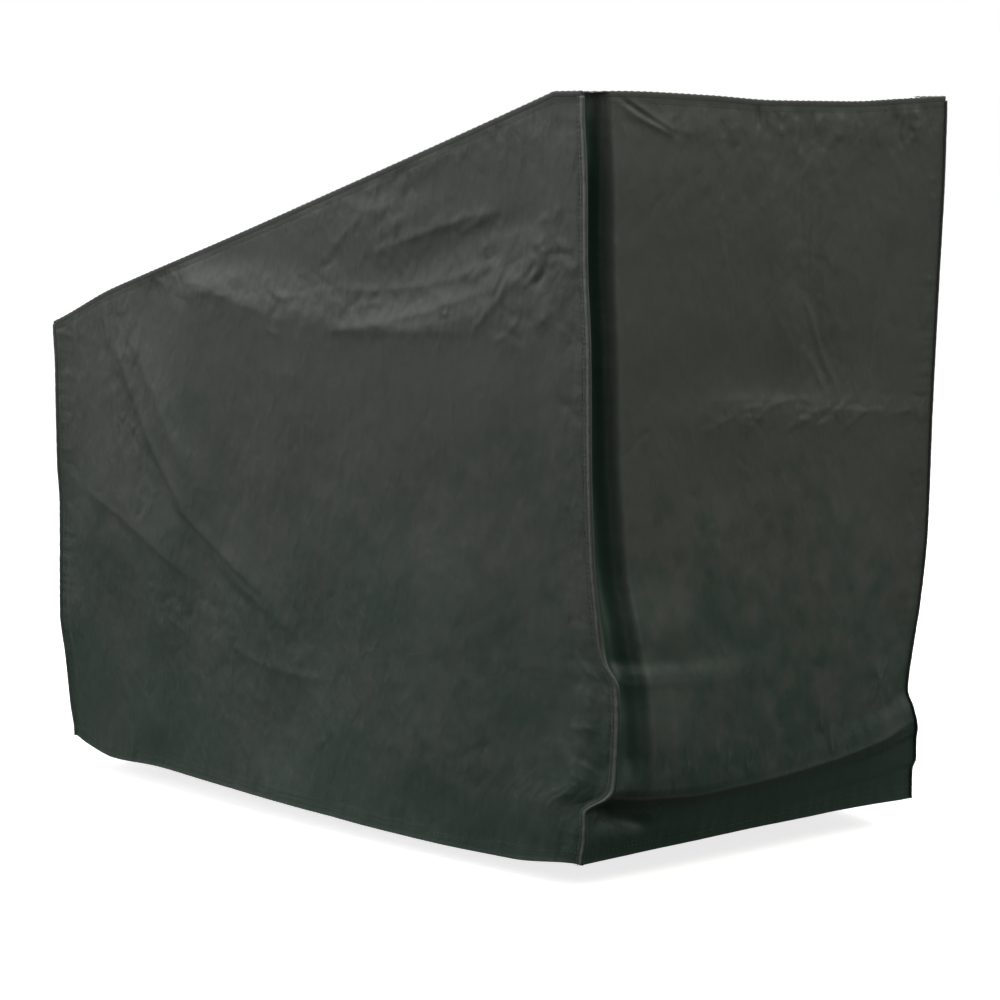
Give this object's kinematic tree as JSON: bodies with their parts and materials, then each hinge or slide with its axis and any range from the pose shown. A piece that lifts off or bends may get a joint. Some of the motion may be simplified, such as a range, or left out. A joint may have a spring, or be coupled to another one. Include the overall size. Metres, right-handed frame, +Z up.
{
  "type": "exercise bike cover",
  "caption": "Fitted cloth cover for an exercise bike: a hollow box open below, tall at the front, with a sloping top down to a low rear.",
  "frame": {"origin": "underside of the level stretch of the top, 30 mm behind the front panel at mid width, where what it covers holds the cover up", "axes": "+X towards the tall front panel, +Y across towards the far side panel, +Z up"},
  "size_m": [1.3781, 0.7759, 1.0831],
  "materials": {
    "coated_cloth": "dark green-grey woven cloth with a soft-sheen waterproof coating",
    "seam_cloth": "the same coated cloth folded and stitched along a seam"
  },
  "bodies": {
    "root": {"near_side_panel": "coated_cloth", "far_side_panel": "coated_cloth", "front_panel": "coated_cloth", "rear_panel": "coated_cloth", "top_panel": "coated_cloth", "near_front_seam": "seam_cloth", "far_front_seam": "seam_cloth", "near_rear_seam": "seam_cloth", "far_rear_seam": "seam_cloth", "near_top_seam": "seam_cloth", "far_top_seam": "seam_cloth", "front_top_seam": "seam_cloth", "rear_top_seam": "seam_cloth"}
  },
  "joints": []
}
